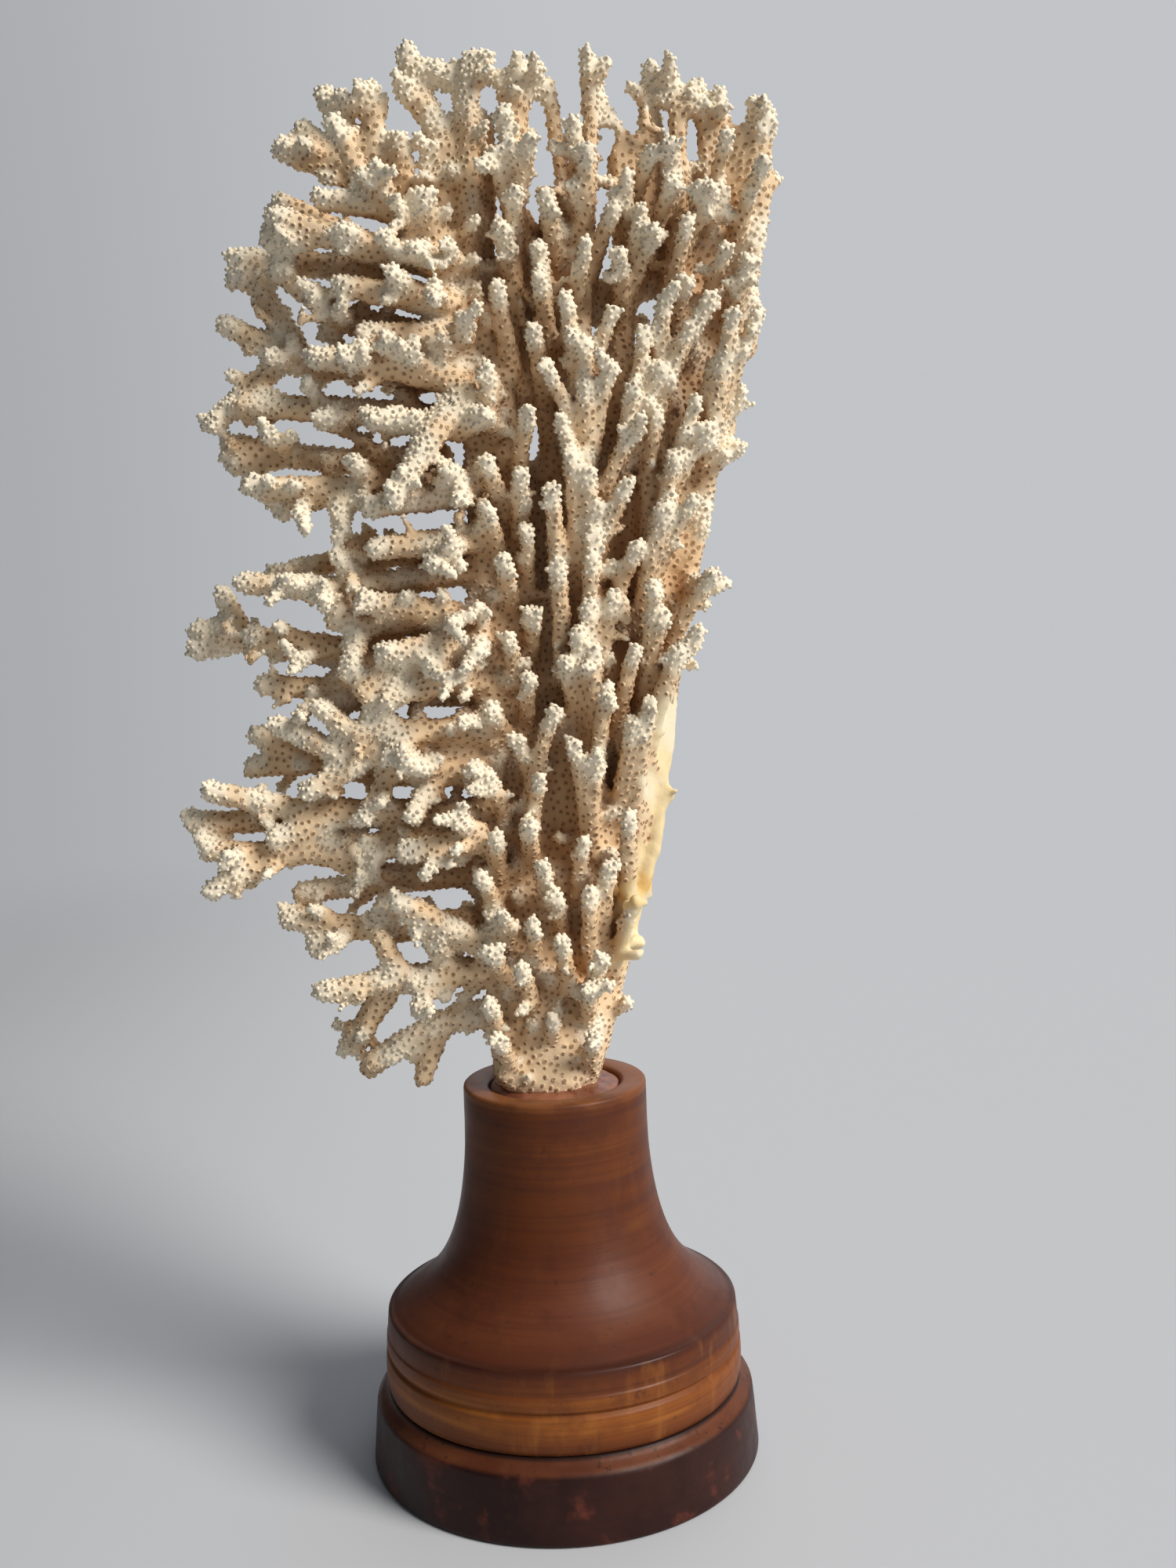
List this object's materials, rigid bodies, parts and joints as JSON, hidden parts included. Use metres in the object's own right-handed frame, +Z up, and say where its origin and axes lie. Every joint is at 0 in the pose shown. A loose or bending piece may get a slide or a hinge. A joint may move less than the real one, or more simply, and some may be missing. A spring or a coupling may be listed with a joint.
{
  "type": "branching coral on a turned wooden stand",
  "caption": "Fan-like fragment of branching stony coral, upright ribs with short fingers and side limbs, fixed with putty into a bell-shaped turned wooden stand.",
  "frame": {"origin": "centre of the stand's underside", "axes": "+Z up along the stand's turning axis; -Y is the coral's face with its short fingers; -X is the side that the long limbs reach to; +X is the broken edge"},
  "size_m": [0.1531, 0.0984, 0.3503],
  "materials": {
    "coral": "dry, chalky and porous: peach-brown ribs dotted with small round pores, paler cream fingertips thick with raised cups",
    "wood": "warm orange-brown hardwood with fine turning lines, darker red patches and a satin wax sheen",
    "dark_wood": "very dark brown stained hardwood, satin, with small scuffs",
    "putty": "reddish-brown filler, smooth and slightly glossy, uneven where it meets the coral"
  },
  "bodies": {
    "root": {"plinth": "dark_wood", "bell": "wood", "plug": "putty", "foot": "coral", "rib_1": "coral", "rib_2": "coral", "rib_3": "coral", "rib_4": "coral", "rib_5": "coral", "rib_6": "coral", "rib_7": "coral", "rib_8": "coral", "limb_01": "coral", "limb_02": "coral", "limb_03": "coral", "limb_04": "coral", "limb_05": "coral", "limb_06": "coral", "limb_07": "coral", "limb_08": "coral", "limb_09": "coral", "limb_10": "coral", "limb_11": "coral", "limb_12": "coral", "limb_13": "coral", "limb_14": "coral", "limb_15": "coral", "limb_16": "coral", "limb_17": "coral", "limb_18": "coral", "limb_19": "coral", "limb_20": "coral", "limb_21": "coral", "limb_22": "coral", "limb_23": "coral", "limb_24": "coral", "limb_25": "coral", "limb_26": "coral", "limb_27": "coral", "limb_28": "coral", "limb_29": "coral", "limb_30": "coral", "limb_31": "coral", "limb_32": "coral", "limb_33": "coral", "limb_34": "coral", "limb_35": "coral", "limb_36": "coral", "limb_37": "coral", "limb_38": "coral", "limb_39": "coral", "limb_40": "coral", "limb_41": "coral", "limb_42": "coral"}
  },
  "joints": []
}
